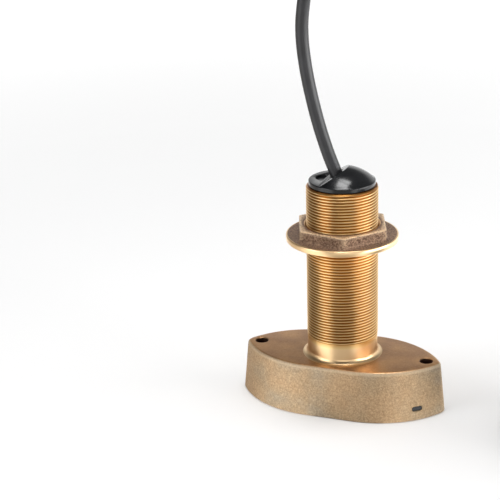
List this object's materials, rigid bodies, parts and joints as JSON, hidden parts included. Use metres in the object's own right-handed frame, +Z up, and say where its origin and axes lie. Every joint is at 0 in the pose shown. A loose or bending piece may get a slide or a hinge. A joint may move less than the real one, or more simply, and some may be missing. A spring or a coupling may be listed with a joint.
{
  "type": "through-hull sonar transducer",
  "caption": "Cast bronze sonar transducer with an oval base, a long threaded stem, a flanged hull nut, a domed cap and a cable folded into a tied hank that ends in a sealed connector.",
  "frame": {"origin": "on the stem's axis, level with the foot of the base", "axes": "+Z up the stem towards the cap, +X along the base towards the side where the cable's hank lies, +Y across the base"},
  "size_m": [0.368, 0.0961, 0.2847],
  "materials": {
    "cast_bronze": "sand-cast, machined thread",
    "as_cast_nut_bronze": "as cast, machined rim",
    "gloss_black_plastic": "gloss",
    "dark_urethane": "satin",
    "silvered_ceramic": "fired silver",
    "cork": "matt cork and rubber sheet",
    "amber_resin": "cast epoxy",
    "cable_jacket": "satin",
    "black_rubber": "matt",
    "red_insulation": "satin",
    "white_insulation": "satin",
    "black_nylon": "satin",
    "plated_brass": "nickel plate",
    "gold_contact": "gold plate"
  },
  "bodies": {
    "transducer": {"housing": "cast_bronze", "stem_cap": "gloss_black_plastic", "cap_seal": "black_rubber", "acoustic_window": "dark_urethane", "ceramic_disc": "silvered_ceramic", "isolation_ring": "cork", "backing_pad": "cork", "backing_resin": "amber_resin", "thermistor": "amber_resin", "thermistor_lead": "cable_jacket", "lead_live": "red_insulation", "lead_return": "white_insulation", "cable_inner": "cable_jacket", "cable": "cable_jacket", "cable_coil": "cable_jacket", "coil_tie_1": "black_nylon", "coil_tie_2": "black_nylon", "cable_tail": "cable_jacket", "connector_boot": "black_rubber", "connector_nut": "black_nylon", "connector_body": "plated_brass", "connector_insert": "black_nylon", "connector_seal": "black_rubber", "connector_contact_1": "gold_contact", "connector_contact_2": "gold_contact", "connector_contact_3": "gold_contact", "connector_contact_4": "gold_contact", "connector_contact_5": "gold_contact", "connector_contact_6": "gold_contact"},
    "nut": {"hull_nut": "as_cast_nut_bronze"},
    "collar": {"connector_collar": "plated_brass"}
  },
  "joints": [
    {"name": "nut_travel", "type": "slide", "parent": "transducer", "child": "nut", "axis": [0, 0, 1], "range_m": [-0.054, 0.021]},
    {"name": "collar_turn", "type": "hinge", "parent": "transducer", "child": "collar", "pos_m": [0.3, -0.0405, 0.0112], "axis": [0, -1, 0], "continuous": true}
  ]
}
